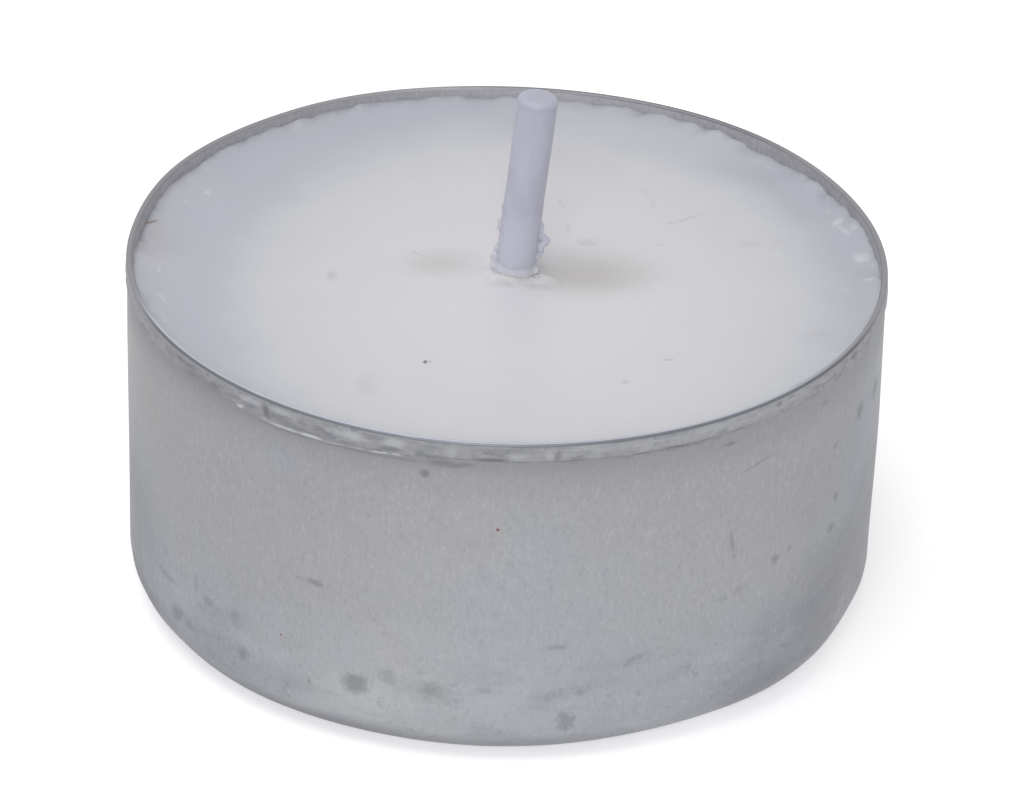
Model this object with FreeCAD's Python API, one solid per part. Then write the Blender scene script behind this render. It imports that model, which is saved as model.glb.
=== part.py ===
"""Tea light candle: a drawn aluminium cup with a hemmed rim, filled with wax, and a waxed wick
that stands in a crimped steel sustainer on the cup's floor.

Millimetres and degrees, +Z up. The origin is the middle of the base, on the surface that the
cup stands on. The wick leans towards +X, and the front of the candle is -Y.
"""

import FreeCAD
import Part

import math
import os

from FreeCAD import Vector

# Cup: outside sizes of the drawn sheet
rim_diameter = 38.0
base_diameter = 37.4
cup_height = 18.0
cup_sheet = 0.14
base_corner_radius = 2.2

# Hem: the rim is folded outward and pressed flat, and the wall is set in to make room for it
hem_depth = 0.95
hem_gap = 0.04
hem_step = 0.05
hem_shoulder_height = 0.4
hem_bend_radius = 0.12

# Base: a panel raised inside the foot ring, with a ridge that keeps the sustainer in place
panel_diameter = 27.0
panel_rise = 0.6
panel_slope = 0.8
ridge_rise = 0.5
ridge_width = 1.4
ridge_clearance = 0.3
base_bend_radius = 0.2

# Sustainer: a pressed disc with a neck that is crimped on the wick
sustainer_diameter = 12.5
sustainer_sheet = 0.2
neck_height = 3.2
neck_root_radius = 0.35
crimp_count = 4
crimp_below_top = 1.1
crimp_roller_radius = 0.6
crimp_depth = 0.15

# Wick: upright in the neck, set off sideways inside the wax, and leaning above it
wick_diameter = 2.0
wick_above_wax = 9.85
wick_offset = 0.5
wick_upright_above_neck = 1.5
wick_upright_below_wax = 3.0
wick_bend_above_wax = 3.1
wick_lean = 7.5
wick_bend_radius = 20.0
wick_end_rounding = 0.3

# Wax: its level is measured down from the top of the rim
wax_below_rim = 0.8
wax_climb = 0.27
meniscus_width = 1.9
dip_radius = 6.0
dip_depth = 0.3
dip_behind_wick = 1.5
collar_height = 0.9
collar_spread = 0.75

up = Vector(0, 0, 1)
hem_foot = cup_height - hem_depth
hem_inner_radius = rim_diameter / 2 - cup_sheet - hem_gap
floor_height = panel_rise + cup_sheet
neck_top = floor_height + neck_height
wax_level = cup_height - wax_below_rim
wick_radius = wick_diameter / 2


def left_of(direction):
    """Direction turned a quarter to the left, in the section plane XZ."""
    return Vector(-direction.z, 0, direction.x)


def bent_path(corners, sheet=0):
    """One face of a bent sheet, or a bent centre line, as tangent lines and arcs.

    corners holds (x, height, inside bend radius) in the section plane from end to end. The
    sheet lies to the left of the walk where it is positive. Each stretch of the path is a list
    of (point, left normal): two for a line and three for an arc.
    """
    points = [Vector(x, 0, height) for x, height, _ in corners]
    bends = [bend for _, _, bend in corners]
    path = []
    start = points[0]
    for before, corner, after, bend in zip(points, points[1:], points[2:], bends[1:]):
        arriving = (corner - before).normalize()
        leaving = (after - corner).normalize()
        turn = math.atan2(left_of(arriving).dot(leaving), arriving.dot(leaving))
        side = math.copysign(1, turn)
        radius = bend + abs(sheet) if side * sheet > 0 else bend
        trim = radius * math.tan(abs(turn) / 2)
        arc_start = corner - arriving * trim
        arc_end = corner + leaving * trim
        centre = arc_start + left_of(arriving) * (side * radius)
        outward = (corner - centre).normalize()
        path.append([(start, left_of(arriving)), (arc_start, left_of(arriving))])
        path.append([
            (arc_start, left_of(arriving)),
            (centre + outward * radius, outward * -side),
            (arc_end, left_of(leaving)),
        ])
        start = arc_end
    last = left_of((points[-1] - start).normalize())
    path.append([(start, last), (points[-1], last)])
    return path


def path_edges(path, distance=0):
    """The path's edges, moved to its left by distance."""
    edges = []
    for stretch in path:
        points = [point + normal * distance for point, normal in stretch]
        edges.append(Part.Arc(*points).toShape() if len(points) == 3 else Part.makeLine(*points))
    return edges


def path_start(path, distance):
    """The path's first point, moved to its left by distance."""
    point, normal = path[0][0]
    return point + normal * distance


def path_end(path, distance):
    """The path's last point, moved to its left by distance."""
    point, normal = path[-1][-1]
    return point + normal * distance


def revolved(edges):
    """Solid of revolution about Z of a closed outline."""
    outline = Part.Wire(Part.__sortEdges__(edges))
    return Part.Face(outline).revolve(Vector(0, 0, 0), up, 360)


def formed_sheet(path, sheet):
    """Solid of revolution of a bent sheet of constant thickness."""
    first_edge = Part.makeLine(path_start(path, 0), path_start(path, sheet))
    last_edge = Part.makeLine(path_end(path, 0), path_end(path, sheet))
    return revolved(path_edges(path) + path_edges(path, sheet) + [first_edge, last_edge])


def cup_corners():
    """Corners of the cup's outside face, from the middle of the base up to the foot of the hem."""
    ridge_foot = sustainer_diameter / 2 + ridge_clearance
    ridge_crest = ridge_foot + ridge_width / 2
    ridge_end = ridge_foot + ridge_width
    panel_edge = panel_diameter / 2
    wall_top_radius = rim_diameter / 2 - hem_step
    return [
        (0, panel_rise, None),
        (ridge_foot, panel_rise, base_bend_radius),
        (ridge_crest, panel_rise + ridge_rise, base_bend_radius),
        (ridge_end, panel_rise, base_bend_radius),
        (panel_edge, panel_rise, base_bend_radius),
        (panel_edge + panel_slope, 0, base_bend_radius),
        (base_diameter / 2, 0, base_corner_radius - cup_sheet),
        (wall_top_radius, hem_foot - hem_shoulder_height, hem_bend_radius),
        (hem_inner_radius, hem_foot, hem_bend_radius),
    ]


def make_cup():
    """Drawn cup: the base pressed up, the wall drawn with draft, and the rim hemmed."""
    fold_height = cup_height - cup_sheet
    fold_bend_radius = 0.45 * hem_gap
    hem_corners = [
        (hem_inner_radius, fold_height, fold_bend_radius),
        (hem_inner_radius + hem_gap, fold_height, fold_bend_radius),
        (hem_inner_radius + hem_gap, hem_foot, None),
    ]
    return formed_sheet(bent_path(cup_corners() + hem_corners, cup_sheet), cup_sheet)


def cup_space():
    """Everything that the cup's inside face encloses, up to the top of the rim."""
    path = bent_path(cup_corners() + [(hem_inner_radius, cup_height, None)], cup_sheet)
    floor_middle = path_start(path, cup_sheet)
    brim = path_end(path, cup_sheet)
    brim_middle = Vector(0, 0, brim.z)
    lid = Part.makeLine(brim, brim_middle)
    axis = Part.makeLine(brim_middle, floor_middle)
    return revolved(path_edges(path, cup_sheet) + [lid, axis])


def crimp_rollers(radius):
    """Rollers that lie across the neck, evenly round it, and press it in by the crimp depth."""
    neck_radius = wick_radius + sustainer_sheet
    reach = 2 * neck_radius
    centre_distance = neck_radius + crimp_roller_radius - crimp_depth
    end = Vector(centre_distance, -reach, neck_top - crimp_below_top)
    rollers = []
    for index in range(crimp_count):
        roller = Part.makeCylinder(radius, 2 * reach, end, Vector(0, 1, 0))
        roller.rotate(Vector(0, 0, 0), up, 360 * (index + 0.5) / crimp_count)
        rollers.append(roller)
    return Part.makeCompound(rollers)


def sustainer_path():
    """Underside of the disc, from its edge inward and then up the bore of the neck."""
    return bent_path(
        [
            (sustainer_diameter / 2, floor_height, None),
            (wick_radius, floor_height, neck_root_radius),
            (wick_radius, neck_top, None),
        ],
        -sustainer_sheet,
    )


def make_sustainer():
    """Disc and neck drawn from one sheet, which keeps its thickness where it is crimped."""
    blank = formed_sheet(sustainer_path(), -sustainer_sheet)
    bore = Part.makeCylinder(wick_radius, neck_height, Vector(0, 0, floor_height))
    pressed_in = bore.common(crimp_rollers(crimp_roller_radius + sustainer_sheet))
    crimped = blank.fuse(pressed_in).cut(crimp_rollers(crimp_roller_radius))
    return crimped.removeSplitter()


def wick_route():
    """Centre line of the wick, from the cup's floor to its cut end."""
    top_height = wax_level + wick_above_wax
    bend_height = wax_level + wick_bend_above_wax
    top_offset = wick_offset + (top_height - bend_height) * math.tan(math.radians(wick_lean))
    return bent_path([
        (0, floor_height, None),
        (0, neck_top + wick_upright_above_neck, wick_bend_radius),
        (wick_offset, wax_level - wick_upright_below_wax, wick_bend_radius),
        (wick_offset, bend_height, wick_bend_radius),
        (top_offset, top_height, None),
    ])


def wick_foot():
    """Foot of the wick, spread into the flare under the neck."""
    flare_edge, flare_middle, throat = [point for point, _ in sustainer_path()[1]]
    flare = Part.Arc(flare_edge, flare_middle, throat).toShape()
    core = Part.makePolygon([throat, Vector(0, 0, throat.z), Vector(0, 0, floor_height), flare_edge])
    return revolved([flare] + core.Edges)


def make_wick(sustainer):
    """Waxed wick: spread at its foot, pinched by the crimp and rounded at its cut end."""
    section = Part.Wire([Part.makeCircle(wick_radius, Vector(0, 0, floor_height), up)])
    stick = Part.Wire(path_edges(wick_route())).makePipeShell([section], True, False)
    cut_end = max(stick.Edges, key=lambda edge: edge.CenterOfMass.z)
    stick = stick.makeFillet(wick_end_rounding, [cut_end])
    return stick.fuse(wick_foot()).cut(sustainer)


def wax_block():
    """Everything below the wax's free surface: level, and climbing the wall at its edge."""
    wall_radius = hem_inner_radius - cup_sheet
    inner = Vector(wall_radius - meniscus_width, 0, wax_level)
    contact = Vector(wall_radius, 0, wax_level + wax_climb)
    radius = (meniscus_width ** 2 + wax_climb ** 2) / (2 * wax_climb)
    half_angle = math.asin(meniscus_width / radius) / 2
    middle = inner + Vector(math.sin(half_angle), 0, 1 - math.cos(half_angle)) * radius
    centre = Vector(0, 0, wax_level)
    bottom = Vector(0, 0, 0)
    outside = Vector(rim_diameter, 0, contact.z)
    outside_bottom = Vector(rim_diameter, 0, 0)
    meniscus = Part.Arc(inner, middle, contact).toShape()
    flat_faces = Part.makePolygon([contact, outside, outside_bottom, bottom, centre, inner])
    return revolved([meniscus] + flat_faces.Edges)


def shrinkage_dip():
    """Ball that leaves the shallow dip where the wax sank as it set."""
    radius = (dip_radius ** 2 + dip_depth ** 2) / (2 * dip_depth)
    centre = Vector(wick_offset, dip_behind_wick, wax_level - dip_depth + radius)
    return Part.makeSphere(radius, centre)


def wick_collar():
    """Wax that climbs the wick in a concave skirt."""
    foot_height = wax_level - dip_depth
    skirt_foot = Vector(wick_radius + collar_spread, 0, foot_height)
    skirt_top = Vector(wick_radius, 0, foot_height + collar_height)
    slope = skirt_top - skirt_foot
    sag = left_of(slope) * 0.2
    skirt = Part.Arc(skirt_foot, (skirt_foot + skirt_top) / 2 + sag, skirt_top).toShape()
    root_height = foot_height - collar_spread
    root = Part.makePolygon([
        skirt_top,
        Vector(0, 0, skirt_top.z),
        Vector(0, 0, root_height),
        Vector(skirt_foot.x, 0, root_height),
        skirt_foot,
    ])
    collar = revolved([skirt] + root.Edges)
    collar.translate(Vector(wick_offset, 0, 0))
    return collar


def make_wax(wick, sustainer):
    """Poured wax: fills the cup to its level and closes round the wick and the sustainer."""
    poured = cup_space().common(wax_block())
    surfaced = poured.cut(shrinkage_dip()).fuse(wick_collar())
    return surfaced.cut(Part.makeCompound([wick, sustainer]))


def main():
    os.makedirs("parts", exist_ok=True)
    sustainer = make_sustainer()
    wick = make_wick(sustainer)
    parts = {
        "cup": make_cup(),
        "wax_fill": make_wax(wick, sustainer),
        "wick": wick,
        "wick_sustainer": sustainer,
    }
    for node, shape in parts.items():
        shape.exportStep("parts/" + node + ".step")
        print(node, "solids", len(shape.Solids), "valid", shape.isValid(), "mm3", round(shape.Volume, 2))


main()
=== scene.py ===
import math
import bmesh
import bpy
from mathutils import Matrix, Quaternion, Vector


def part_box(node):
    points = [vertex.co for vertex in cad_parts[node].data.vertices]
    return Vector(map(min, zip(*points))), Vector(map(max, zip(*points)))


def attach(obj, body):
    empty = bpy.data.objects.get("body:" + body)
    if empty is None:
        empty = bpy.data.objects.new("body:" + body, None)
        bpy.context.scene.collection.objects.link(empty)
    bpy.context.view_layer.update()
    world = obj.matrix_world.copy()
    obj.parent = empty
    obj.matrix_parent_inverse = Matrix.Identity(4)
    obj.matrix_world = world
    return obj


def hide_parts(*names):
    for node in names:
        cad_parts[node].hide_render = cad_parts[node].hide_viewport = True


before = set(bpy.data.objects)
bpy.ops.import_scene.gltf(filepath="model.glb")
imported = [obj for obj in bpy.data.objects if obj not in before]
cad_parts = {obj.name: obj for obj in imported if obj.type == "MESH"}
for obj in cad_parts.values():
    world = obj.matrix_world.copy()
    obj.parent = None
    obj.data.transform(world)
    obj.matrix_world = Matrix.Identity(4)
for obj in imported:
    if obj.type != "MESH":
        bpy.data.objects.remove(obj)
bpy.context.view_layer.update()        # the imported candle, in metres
metresPerMillimetre = 0.001
print("loaded", sorted(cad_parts))


# Small tools for modelling. Pieces are made in millimetres and brought to metres when they are done.

def deselectAll():
    if bpy.context.mode != "OBJECT":
        bpy.ops.object.mode_set(mode="OBJECT")
    bpy.ops.object.select_all(action="DESELECT")


def nodeSize(name):      # widest radius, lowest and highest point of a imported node, in mm
    low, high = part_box(name)
    return high.x / metresPerMillimetre, low.z / metresPerMillimetre, high.z / metresPerMillimetre


def roundCorners(corners, degreesEach=15, longest=2.0):
    # corners are (x, height, bend radius): straight runs joined by arcs, as points with their slope
    line = []
    start = Vector(corners[0][:2])
    for number, corner in enumerate(corners[1:], 1):
        here = Vector(corner[:2])
        run = (here - start).normalized()
        turn, trim = 0.0, 0.0
        if number < len(corners) - 1:
            leaving = (Vector(corners[number + 1][:2]) - here).normalized()
            turn = math.atan2(run.x * leaving.y - run.y * leaving.x, run.dot(leaving))
            trim = corner[2] * math.tan(abs(turn) / 2)
        arcStart = here - run * trim
        pieces = max(1, math.ceil((arcStart - start).length / longest))
        heading = math.atan2(run.y, run.x)
        line += [(*start.lerp(arcStart, share / pieces), heading) for share in range(pieces)]
        side = math.copysign(1, turn)
        spoke = Vector((run.y, -run.x)) * side * corner[2] if turn else Vector((0, 0))
        centre = arcStart - spoke
        steps = max(1, round(abs(math.degrees(turn)) / degreesEach)) if turn else 0
        for step in range(steps):
            swing = turn * step / steps
            x = spoke.x * math.cos(swing) - spoke.y * math.sin(swing)
            y = spoke.x * math.sin(swing) + spoke.y * math.cos(swing)
            line.append((centre.x + x, centre.y + y, heading + swing))
        start = here + (leaving * trim if turn else Vector((0, 0)))
    line.append((*start, heading))
    return line


def pullRings(name, rings, sides, startFill="NOTHING", closeEnd=False):
    # rings are (centre x, radius, height, tilt): each one is extruded from the ring before it
    deselectAll()
    x, radius, height, tilt = rings[0]
    bpy.ops.mesh.primitive_circle_add(
        vertices=sides, radius=radius, fill_type=startFill, location=(x, 0, height)
    )
    piece = bpy.context.active_object
    piece.name = name
    bpy.ops.object.transform_apply(location=True)
    bpy.ops.object.mode_set(mode="EDIT")
    bpy.ops.mesh.select_mode(type="EDGE")
    bpy.ops.mesh.select_all(action="DESELECT")
    bpy.ops.mesh.select_non_manifold(extend=False)
    if startFill == "NOTHING":
        bpy.ops.mesh.select_all(action="SELECT")
    for nextX, nextRadius, nextHeight, nextTilt in rings[1:]:
        middle = (nextX, 0, nextHeight)
        step = (nextX - x, 0, nextHeight - height)
        bpy.ops.mesh.extrude_edges_move(TRANSFORM_OT_translate={"value": step})
        growth = nextRadius / radius
        bpy.ops.transform.resize(value=(growth, growth, growth), center_override=middle)
        if nextTilt != tilt:
            bpy.ops.transform.rotate(value=nextTilt - tilt, orient_axis="Y", center_override=middle)
        x, radius, height, tilt = nextX, nextRadius, nextHeight, nextTilt
    if closeEnd:
        bpy.ops.mesh.merge(type="CENTER")
    bpy.ops.mesh.select_all(action="SELECT")
    bpy.ops.mesh.remove_doubles(threshold=0.0005)
    bpy.ops.mesh.normals_make_consistent(inside=False)
    bpy.ops.object.mode_set(mode="OBJECT")
    return piece


def nudge(piece, places):
    # each place is (point, push, reach): the surface near the point moves, with a soft falloff
    deselectAll()
    bpy.context.view_layer.objects.active = piece
    piece.select_set(True)
    bpy.ops.object.mode_set(mode="EDIT")
    bpy.ops.mesh.select_mode(type="VERT")
    for point, push, reach in places:
        bpy.ops.mesh.select_all(action="DESELECT")
        editMesh = bmesh.from_edit_mesh(piece.data)
        nearest = min(editMesh.verts, key=lambda vertex: (vertex.co - Vector(point)).length_squared)
        nearest.select_set(True)
        bmesh.update_edit_mesh(piece.data)
        bpy.ops.transform.translate(
            value=push, use_proportional_edit=True,
            proportional_size=reach, proportional_edit_falloff="SMOOTH",
        )
    bpy.ops.object.mode_set(mode="OBJECT")


def onWall(degrees, height, outward, reach, radius=18.85):
    # a place for nudge on the cup's wall; 0 degrees is the front and 90 the right side
    turn = math.radians(degrees)
    away = Vector((math.sin(turn), -math.cos(turn), 0))
    return away * radius + Vector((0, 0, height)), away * outward, reach


def weigh(piece, name, weightAt):
    group = piece.vertex_groups.new(name=name)
    for vertex in piece.data.vertices:
        weight = weightAt(vertex.co)
        if weight > 0:
            group.add([vertex.index], min(1.0, weight), "REPLACE")


def applyModifier(piece, kind, **settings):
    deselectAll()
    bpy.context.view_layer.objects.active = piece
    piece.select_set(True)
    modifier = piece.modifiers.new(kind.lower(), kind)
    for name, value in settings.items():
        setattr(modifier, name, value)
    bpy.ops.object.modifier_apply(modifier=modifier.name)


def roughen(piece, group, grain, amount, direction="NORMAL", middle=0.5, depth=2):
    clouds = bpy.data.textures.new(group + "Clouds", "CLOUDS")
    clouds.noise_scale = grain
    clouds.noise_depth = depth
    applyModifier(
        piece, "DISPLACE", texture=clouds, vertex_group=group,
        strength=amount, direction=direction, mid_level=middle,
    )


def finishPiece(piece, node, slot, *finishes, pick=None, smoothUnder=60):
    # with more than one finish, pick tells which one a face gets
    deselectAll()
    bpy.context.view_layer.objects.active = piece
    piece.select_set(True)
    piece.scale = (metresPerMillimetre,) * 3
    bpy.ops.object.transform_apply(location=True, rotation=True, scale=True)
    bpy.ops.object.shade_smooth_by_angle(angle=math.radians(smoothUnder))
    piece.vertex_groups.clear()
    piece.data.materials.clear()
    for finish in finishes:
        piece.data.materials.append(finish)
    for face in piece.data.polygons if pick else []:
        face.material_index = pick(face)
    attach(piece, "root")
    if node:
        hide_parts(node)
    print("finished", piece.name, len(piece.data.polygons), "faces")


# Shader maths

class Signal:            # a node's output socket that Python's operators can work on
    def __init__(self, sheet, socket):
        self.sheet = sheet
        self.socket = socket

    def maths(self, operation, *values):
        return self.sheet.add("Math", {"operation": operation}, dict(enumerate(values)))

    def __add__(self, other):
        return self.maths("ADD", self, other)

    def __radd__(self, other):
        return self.maths("ADD", other, self)

    def __sub__(self, other):
        return self.maths("SUBTRACT", self, other)

    def __rsub__(self, other):
        return self.maths("SUBTRACT", other, self)

    def __mul__(self, other):
        return self.maths("MULTIPLY", self, other)

    def __rmul__(self, other):
        return self.maths("MULTIPLY", other, self)

    def __pow__(self, other):
        return self.maths("POWER", self, other)

    def __rpow__(self, other):
        return self.maths("POWER", other, self)

    def largest(self, other):
        return self.maths("MAXIMUM", self, other)


class NodeSheet:         # the nodes of one material, light or world
    def __init__(self, tree):
        self.tree = tree
        tree.nodes.clear()

    def add(self, kind, settings=None, inputs=None, output=0):
        node = self.tree.nodes.new("ShaderNode" + kind)
        for name, value in (settings or {}).items():
            setattr(node, name, value)
        for name, value in (inputs or {}).items():
            if isinstance(value, Signal):
                self.tree.links.new(value.socket, node.inputs[name])
            else:
                node.inputs[name].default_value = value
        return Signal(self, node.outputs[output]) if node.outputs else None

    def mixColour(self, mask, first, second):
        return self.add("Mix", {"data_type": "RGBA"}, {0: mask, 6: first, 7: second}, 2)

    def noise(self, where, scale, detail=3.0, roughness=0.5):
        inputs = {"Vector": where, "Scale": scale, "Detail": detail, "Roughness": roughness}
        return self.add("TexNoise", None, inputs)

    def fade(self, value, low, high, top=1.0):   # 0 at low, top at high, soft between
        inputs = {"Value": value, "From Min": low, "From Max": high, "To Max": top}
        return self.add("MapRange", {"interpolation_type": "SMOOTHSTEP"}, inputs)

    def place(self):                         # the piece's own coordinates in mm
        here = self.add("TexCoord", output="Object")
        scale = (1 / metresPerMillimetre,) * 3
        return self.add("Mapping", None, {"Vector": here, "Scale": scale})

    def stretched(self, where, scale):
        return self.add("VectorMath", {"operation": "MULTIPLY"}, {0: where, 1: scale})

    def parts(self, where):
        split = self.add("SeparateXYZ", None, {0: where})
        return [Signal(self, socket) for socket in split.socket.node.outputs]


def srgb(red, green, blue):       # a screen colour, 0 to 255, as the linear colour that shaders use
    def linear(level):
        share = level / 255
        return share / 12.92 if share <= 0.04045 else ((share + 0.055) / 1.055) ** 2.4
    return (linear(red), linear(green), linear(blue), 1.0)


def newFinish(name):
    material = bpy.data.materials.new(name)
    material.use_nodes = True
    return material, NodeSheet(material.node_tree)


def patchMask(sheet, where, wobble, patches, soft=1.0):
    # soft ovals with uneven outlines: each patch is (across, along, width, length, turn in degrees, strength)
    mask = wobble * 0
    for across, along, width, length, turn, strength in patches:
        moved = sheet.add("Mapping", {"vector_type": "TEXTURE"}, {
            "Vector": where, "Location": (across, along, 0), "Rotation": (0, 0, math.radians(turn)),
            "Scale": (width / 2, length / 2, 1),
        })
        far = sheet.add("VectorMath", {"operation": "LENGTH"}, {0: moved}, 1)
        mask = mask.largest(sheet.fade(wobble - far, -1 - soft / 2, -1 + soft / 2, strength))
    return mask


# Cup: rolled aluminium sheet, drawn and hemmed

cupShape = {                 # in mm
    "sheet": 0.14,
    "baseRadius": 18.7,
    "cornerRadius": 2.2,
    "hemDepth": 0.95,        # how far the rim is folded down outside
    "hemGap": 0.04,
    "hemStep": 0.05,         # how far the wall stands inside the rim
    "shoulder": 1.1,         # height over which the wall bends in under the hem
    "shoulderBend": 2.5,
    "hemBend": 0.12,
    "panelRadius": 13.5,     # the raised panel of the base
    "panelRise": 0.6,
    "panelSlope": 0.8,
    "ridgeRadius": 6.55,     # the stiffening ridge in it
    "ridgeWidth": 1.4,
    "ridgeRise": 0.5,
    "baseBend": 0.2,
    "centreRing": 0.4,
    "sides": 480,
    "hemWave": (1.3, 0.14),  # the hem's lower edge wanders up and down: size and height of its waves
    "hemFlare": (0.7, -0.07),    # and stands off the wall by up to this
    "hemDrop": 0.28,         # how much longer the hem is where it is longest
    "hemDropAt": (-27, 20),  # where that is and how far it reaches, in degrees from the front
    "hemRings": 5,           # rows of faces on the folded leg, so that it can wave
    "rimInset": 0.06,        # the folded edge stays this far inside the widest place
    "wallGrain": (5.0, 0.05),    # size and height of the wall's unevenness
}

cupDents = [                 # degrees from the front, height, outward push, reach
    onWall(30, 1.2, -0.22, 7.0),
    onWall(14, 0.8, -0.10, 6.0),
    onWall(62, 4.0, 0.05, 3.5),
    onWall(37, 10.5, -0.05, 1.4),
    onWall(-148, 17.5, 0.24, 10.0),
    onWall(-120, 17.5, 0.26, 8.0),
    onWall(138, 17.5, 0.12, 9.0),
    onWall(-38, 1.2, 0.12, 7.0),
    onWall(86, 10.0, 0.08, 7.0),
    onWall(71, 2.6, -0.17, 5.0),
    onWall(178, 17.5, -0.08, 9.0),
    onWall(-38, 17.2, -0.05, 1.0),
]


def cupRings(shape, rimRadius, rimHeight):
    hemInner = rimRadius - shape["sheet"] - shape["hemGap"]
    hemFoot = rimHeight - shape["hemDepth"]
    foldHeight = rimHeight - shape["sheet"]
    foldBend = 0.45 * shape["hemGap"]        # a little under half the gap, so that two bends fit
    ridgeEnd = shape["ridgeRadius"] + shape["ridgeWidth"]
    ridgeCrest = shape["ridgeRadius"] + shape["ridgeWidth"] / 2
    base = roundCorners([
        (shape["centreRing"], shape["panelRise"], 0),
        (shape["ridgeRadius"], shape["panelRise"], shape["baseBend"]),
        (ridgeCrest, shape["panelRise"] + shape["ridgeRise"], shape["baseBend"]),
        (ridgeEnd, shape["panelRise"], shape["baseBend"]),
        (shape["panelRadius"], shape["panelRise"], shape["baseBend"]),
        (shape["panelRadius"] + shape["panelSlope"], 0, shape["baseBend"]),
        (shape["baseRadius"] - shape["cornerRadius"], 0, 0),
    ], longest=3.0)[:-1]
    wall = roundCorners([
        (shape["baseRadius"] - shape["cornerRadius"], 0, 0),
        (shape["baseRadius"], 0, shape["cornerRadius"] - 0.01),
        (rimRadius - shape["hemStep"], hemFoot - shape["shoulder"], shape["shoulderBend"]),
        (hemInner, hemFoot, shape["hemBend"]),
        (hemInner, foldHeight, foldBend),
        (hemInner + shape["hemGap"], foldHeight, foldBend),
        (hemInner + shape["hemGap"], hemFoot, 0),
    ], longest=1.0)
    (legX, legTop, _), legEnd = wall[-2:]
    rows = shape["hemRings"]
    leg = [(legX, legTop + (legEnd[1] - legTop) * row / rows, 0) for row in range(rows)]
    return [(0, x, height, 0) for x, height, _ in base + wall[:-2] + leg + [legEnd]]


def makeCup():
    rimRadius, _, rimHeight = nodeSize("cup")
    hemFoot = rimHeight - cupShape["hemDepth"]
    rimRadius -= cupShape["rimInset"]
    gapMiddle = rimRadius - cupShape["sheet"] - cupShape["hemGap"] / 2
    cup = pullRings("candleCup", cupRings(cupShape, rimRadius, rimHeight), cupShape["sides"], "TRIFAN")
    lowest = min(cup.data.polygons, key=lambda face: face.center.z)
    if lowest.normal.z > 0:      # the sheet's thickness goes inward from the outside face
        bpy.ops.object.mode_set(mode="EDIT")
        bpy.ops.mesh.flip_normals()
        bpy.ops.object.mode_set(mode="OBJECT")

    def hemWeight(point):        # the folded leg, most at its lower edge
        if math.hypot(point.x, point.y) < gapMiddle or point.z < hemFoot - 0.01:
            return 0
        return 1 - (point.z - hemFoot) / (cupShape["hemDepth"] - cupShape["sheet"])

    def dropWeight(point):
        middle, reach = cupShape["hemDropAt"]
        off = (math.degrees(math.atan2(point.x, -point.y)) - middle) / reach
        return hemWeight(point) * max(0, 1 - off * off)

    weigh(cup, "hem", hemWeight)
    weigh(cup, "longHem", dropWeight)
    weigh(cup, "wall", lambda point: min(1, point.z / 3, (hemFoot - point.z) / 2))
    applyModifier(
        cup, "DISPLACE", vertex_group="longHem", strength=-cupShape["hemDrop"], direction="Z", mid_level=0.0
    )
    roughen(cup, "hem", *cupShape["hemWave"], "Z")
    roughen(cup, "hem", *cupShape["hemFlare"], middle=0.0)
    roughen(cup, "wall", *cupShape["wallGrain"])
    nudge(cup, cupDents)
    applyModifier(cup, "SOLIDIFY", thickness=cupShape["sheet"], offset=-1, use_even_offset=True)
    return cup


# Wax: poured level, sunk a little round the wick and climbing the wall

waxShape = {                     # in mm
    "level": 17.2,
    "climb": 0.27,               # how high the wax climbs the wall, and over what width
    "meniscus": 1.9,
    "wallGap": 0.02,
    "wallBite": 0.03,            # how far its upper edge goes into the metal, so that no gap shows
    "sides": 400,
    "edgeWave": (1.1, 0.6),      # size and height of the scallops where the wax meets the wall
    "swell": (6.0, 0.16),        # of the broad unevenness of the top
    "ripple": (1.1, 0.02),       # of its fine unevenness
    "footLumps": (0.45, 0.3),    # of the lumps round the wick
    "wickHole": 1.0,
    "wickBite": 0.02,            # how far the bore goes into the wick
    "collar": 0.55,              # how high the wax climbs the wick, and from how far out
    "collarReach": 1.0,
    "floorBend": 0.1,
    "wideBend": 0.3,
}

sustainerShape = {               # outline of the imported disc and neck, which the wax goes round
    "sheet": 0.2,
    "flare": 0.55,               # where the neck opens into the disc
    "flareMiddle": 0.3,
}

waxDents = [                     # point, push, reach: the places where the wax sank or stands up
    ((4.0, 0.0, 17.2), (0, 0, -0.08), 4.6),
    ((-2.8, 0.5, 17.2), (0, 0, -0.1), 2.4),
    ((0.2, -2.0, 17.2), (0, 0, 0.06), 2.2),
    ((1.9, -0.9, 17.2), (0, 0, 0.22), 0.8),
    ((-17.9, 3.1, 17.4), (0, 0, -0.5), 3.8),
    ((-17.4, 6.4, 17.4), (0, 0, -0.15), 3.0),
    ((-15.6, 10.2, 17.4), (0, 0, -0.12), 4.0),
    ((13.6, 12.7, 17.4), (0, 0, -0.3), 4.5),
    ((16.6, 8.2, 17.4), (0, 0, -0.2), 3.5),
    ((18.4, 2.2, 17.4), (0, 0, -0.3), 4.2),
    ((4.0, 18.2, 17.4), (0, 0, 0.1), 5.0),
    ((-5.0, 18.0, 17.4), (0, 0, 0.08), 5.0),
]

wickShape = {                     # in mm and degrees
    "radius": 1.0,
    "footHeight": 0.74,
    "upright": 5.44,              # up to here the neck holds it upright
    "offset": 0.3,                # then it wanders this far to the right
    "offsetHeight": 13.0,
    "bendHeight": 16.6,           # and leans from here
    "lean": 5.5,
    "topHeight": 26.97,
    "bendRadius": 20.0,
    "endRounding": 0.33,
    "endCap": 0.35,               # radius of the flat left in the middle of each end
    "sides": 96,
    "skinGrain": (2.4, 0.07),     # size and height of its unevenness
}


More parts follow.
